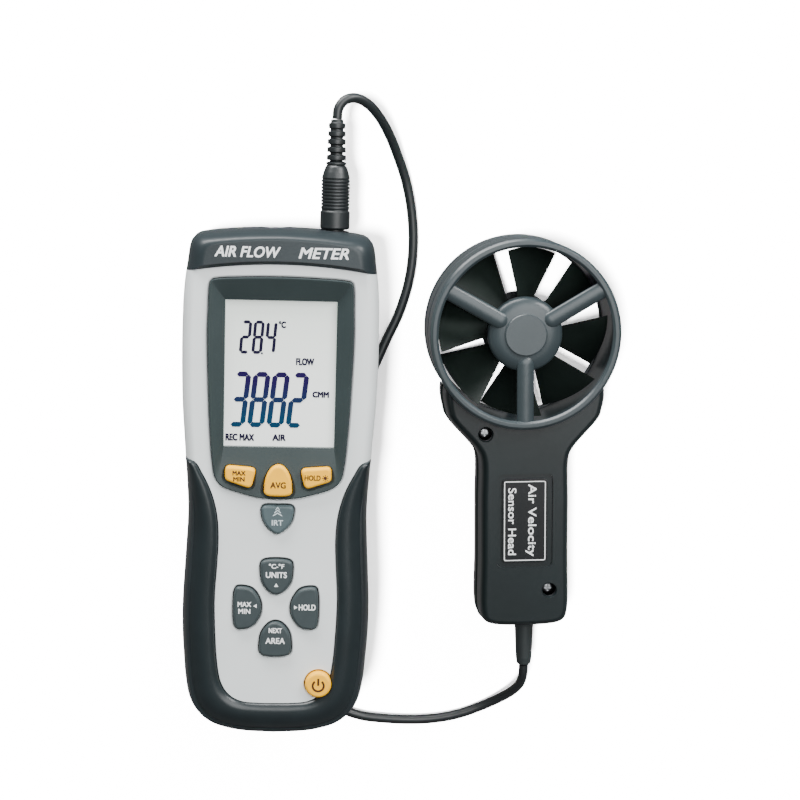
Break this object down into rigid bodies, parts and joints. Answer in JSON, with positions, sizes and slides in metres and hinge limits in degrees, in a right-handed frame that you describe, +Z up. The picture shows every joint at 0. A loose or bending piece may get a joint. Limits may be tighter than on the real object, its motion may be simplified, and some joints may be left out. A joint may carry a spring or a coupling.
{
  "type": "vane anemometer",
  "caption": "Handheld air flow meter with display and keypad, cabled to a round vane probe that holds a spinning impeller.",
  "frame": {"origin": "centre of the flat back of the meter, which lies face up on that back", "axes": "+Z up out of the meter's face, +Y towards the meter's top end with the probe socket, +X towards the vane probe"},
  "size_m": [0.1724, 0.2626, 0.0458],
  "materials": {
    "case_light": "satin moulded light grey",
    "case_dark": "fine-grained dark grey",
    "grip": "soft-touch dark rubber",
    "bezel": "semi-gloss dark grey",
    "window": "clear gloss",
    "display": "pale green-grey display glass",
    "keys_yellow": "moulded yellow silicone with brown legends",
    "keys_blue": "moulded blue-grey silicone",
    "keys_grey": "moulded dark grey silicone with pale legends",
    "probe_shell": "fine-grained dark grey",
    "vane": "black moulded",
    "label": "printed black plate",
    "board": "green solder mask",
    "black_rubber": "black moulded",
    "cable": "black matt jacket",
    "steel": "bright",
    "brass": "machined",
    "lens": "dark lens in a black tube",
    "battery": "printed wrap"
  },
  "bodies": {
    "root": {"rear_case": "case_dark", "front_case": "case_light", "top_cap": "case_dark", "rubber_grip": "grip", "display_bezel": "bezel", "display_window": "window", "lcd_panel": "display", "main_board": "board", "keypad_mat": "black_rubber", "buzzer": "black_rubber", "battery": "battery", "battery_snap": "black_rubber", "probe_socket": "case_dark", "infrared_lens": "lens", "laser_module": "brass", "case_screw_1": "steel", "case_screw_2": "steel", "case_screw_3": "steel", "case_screw_4": "steel", "stand_pin": "steel", "tripod_insert": "brass", "vane_ring": "probe_shell", "front_guard": "probe_shell", "rear_guard": "probe_shell", "bearing_front": "steel", "bearing_rear": "steel", "probe_front_shell": "probe_shell", "probe_rear_shell": "probe_shell", "label_plate": "label", "probe_screw_1": "steel", "probe_screw_2": "steel", "pickup_board": "board", "pickup_sensor": "black_rubber", "probe_strain_relief": "black_rubber", "plug_body": "black_rubber", "plug_boot": "black_rubber", "signal_cable": "cable"},
    "rotor": {"impeller": "vane", "impeller_shaft": "steel"},
    "tilt_stand": {"tilt_stand": "case_dark"},
    "battery_door": {"battery_door": "case_dark", "battery_door_screw": "steel"},
    "key_max_min": {"key_max_min": "keys_yellow"},
    "key_average": {"key_average": "keys_yellow"},
    "key_hold": {"key_hold": "keys_yellow"},
    "key_surface_temp": {"key_surface_temp": "keys_blue"},
    "key_units": {"key_units": "keys_grey"},
    "key_left": {"key_left": "keys_grey"},
    "key_right": {"key_right": "keys_grey"},
    "key_area_next": {"key_area_next": "keys_grey"},
    "key_power": {"key_power": "keys_yellow"}
  },
  "joints": [
    {"name": "impeller_spin", "type": "hinge", "parent": "root", "child": "rotor", "pos_m": [0.0963, 0.0615, 0.016], "axis": [0, 0, 1], "continuous": true},
    {"name": "key_max_min_press", "type": "slide", "parent": "root", "child": "key_max_min", "axis": [0, 0, -1], "range_m": [0, 0.001], "stiffness_N_per_m": 600},
    {"name": "key_average_press", "type": "slide", "parent": "root", "child": "key_average", "axis": [0, 0, -1], "range_m": [0, 0.001], "stiffness_N_per_m": 600},
    {"name": "key_hold_press", "type": "slide", "parent": "root", "child": "key_hold", "axis": [0, 0, -1], "range_m": [0, 0.001], "stiffness_N_per_m": 600},
    {"name": "key_surface_temp_press", "type": "slide", "parent": "root", "child": "key_surface_temp", "axis": [0, 0, -1], "range_m": [0, 0.001], "stiffness_N_per_m": 600},
    {"name": "key_units_press", "type": "slide", "parent": "root", "child": "key_units", "axis": [0, 0, -1], "range_m": [0, 0.001], "stiffness_N_per_m": 600},
    {"name": "key_left_press", "type": "slide", "parent": "root", "child": "key_left", "axis": [0, 0, -1], "range_m": [0, 0.001], "stiffness_N_per_m": 600},
    {"name": "key_right_press", "type": "slide", "parent": "root", "child": "key_right", "axis": [0, 0, -1], "range_m": [0, 0.001], "stiffness_N_per_m": 600},
    {"name": "key_area_next_press", "type": "slide", "parent": "root", "child": "key_area_next", "axis": [0, 0, -1], "range_m": [0, 0.001], "stiffness_N_per_m": 600},
    {"name": "key_power_press", "type": "slide", "parent": "root", "child": "key_power", "axis": [0, 0, -1], "range_m": [0, 0.001], "stiffness_N_per_m": 600},
    {"name": "stand_hinge", "type": "hinge", "parent": "root", "child": "tilt_stand", "pos_m": [0, -0.013, 0.002], "axis": [1, 0, 0], "range_deg": [0, 55]},
    {"name": "battery_door_lift", "type": "slide", "parent": "root", "child": "battery_door", "axis": [0, 0, -1], "range_m": [0, 0.02]}
  ]
}
